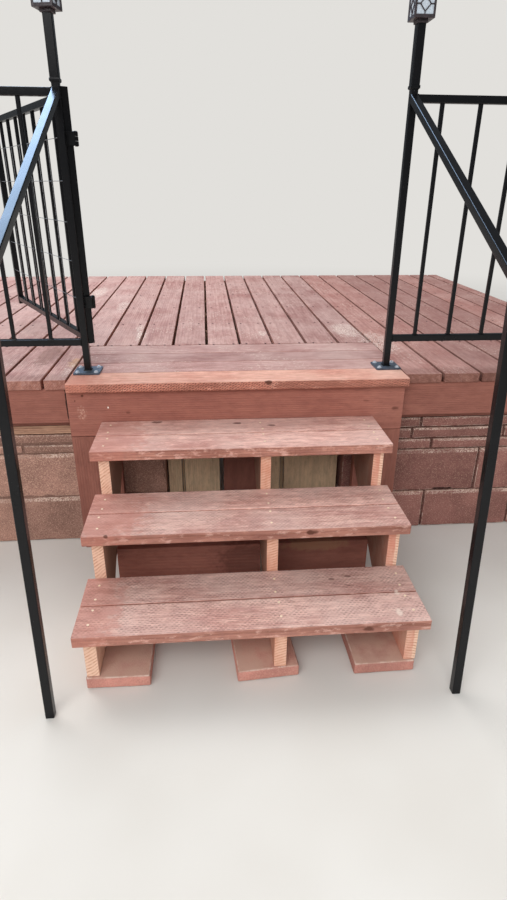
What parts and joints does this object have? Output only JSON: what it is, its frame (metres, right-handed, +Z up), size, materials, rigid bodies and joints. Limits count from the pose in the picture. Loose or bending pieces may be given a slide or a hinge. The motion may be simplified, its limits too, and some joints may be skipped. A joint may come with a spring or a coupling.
{
  "type": "wooden deck stairs with steel handrails and gate",
  "caption": "Open-riser wooden stairs to a low deck on a block skirt, with black steel handrails, picket rails, lantern posts and an inward-swinging gate.",
  "frame": {"origin": "centre of the footprint at ground level", "axes": "+Z up, +Y from the foot of the flight towards the deck's back edge, +X to the right as one climbs"},
  "size_m": [3.66, 3.6948, 2.046],
  "materials": {
    "deck_stain": "worn terracotta stain on sawn boards",
    "tread_stain": "fresh terracotta stain on rough-sawn boards",
    "fascia_stain": "red-brown stain",
    "frame_timber": "plain sawn timber",
    "raw_pine": "raw pine with stain runs",
    "nosing_timber": "light salmon stain with saw marks",
    "siding_paint": "old beige siding offcuts",
    "concrete_block": "pinkish split-face concrete",
    "paver_concrete": "red concrete",
    "black_steel": "satin black paint",
    "lantern_bronze": "dark bronze frame with pale glass"
  },
  "bodies": {
    "deck_stairs": {"deck_boards_left": "deck_stain", "deck_boards_middle": "deck_stain", "deck_boards_right": "deck_stain", "landing_boards": "deck_stain", "tread_1": "tread_stain", "tread_2": "tread_stain", "tread_3": "tread_stain", "rim_joist_front": "fascia_stain", "rim_joist_left": "fascia_stain", "rim_joist_right": "fascia_stain", "landing_fascia": "fascia_stain", "corner_board_left": "fascia_stain", "corner_board_right": "fascia_stain", "centre_post": "fascia_stain", "kick_boards": "fascia_stain", "wall_ledger": "frame_timber", "deck_joists": "frame_timber", "landing_blocking": "frame_timber", "deck_posts": "frame_timber", "sill_boards": "frame_timber", "stringer_left": "raw_pine", "stringer_middle": "raw_pine", "stringer_right": "raw_pine", "nosing_board": "nosing_timber", "siding_panels": "siding_paint", "block_skirt_left": "concrete_block", "block_skirt_right": "concrete_block", "side_skirt_left": "concrete_block", "side_skirt_right": "concrete_block", "paver_left": "paver_concrete", "paver_middle": "paver_concrete", "paver_right": "paver_concrete", "newel_left": "black_steel", "newel_right": "black_steel", "side_rail_left": "black_steel", "side_rail_right": "black_steel", "end_post_left": "black_steel", "end_post_right": "black_steel", "handrail_left": "black_steel", "handrail_right": "black_steel", "lower_post_left": "black_steel", "lower_post_right": "black_steel", "lantern_left": "lantern_bronze", "lantern_right": "lantern_bronze"},
    "gate": {"gate_leaf": "black_steel"}
  },
  "joints": [
    {"name": "gate_hinge", "type": "hinge", "parent": "deck_stairs", "child": "gate", "pos_m": [-0.5493, -0.79345, 1.233], "axis": [0, 0, 1], "range_deg": [-119, 0]}
  ]
}
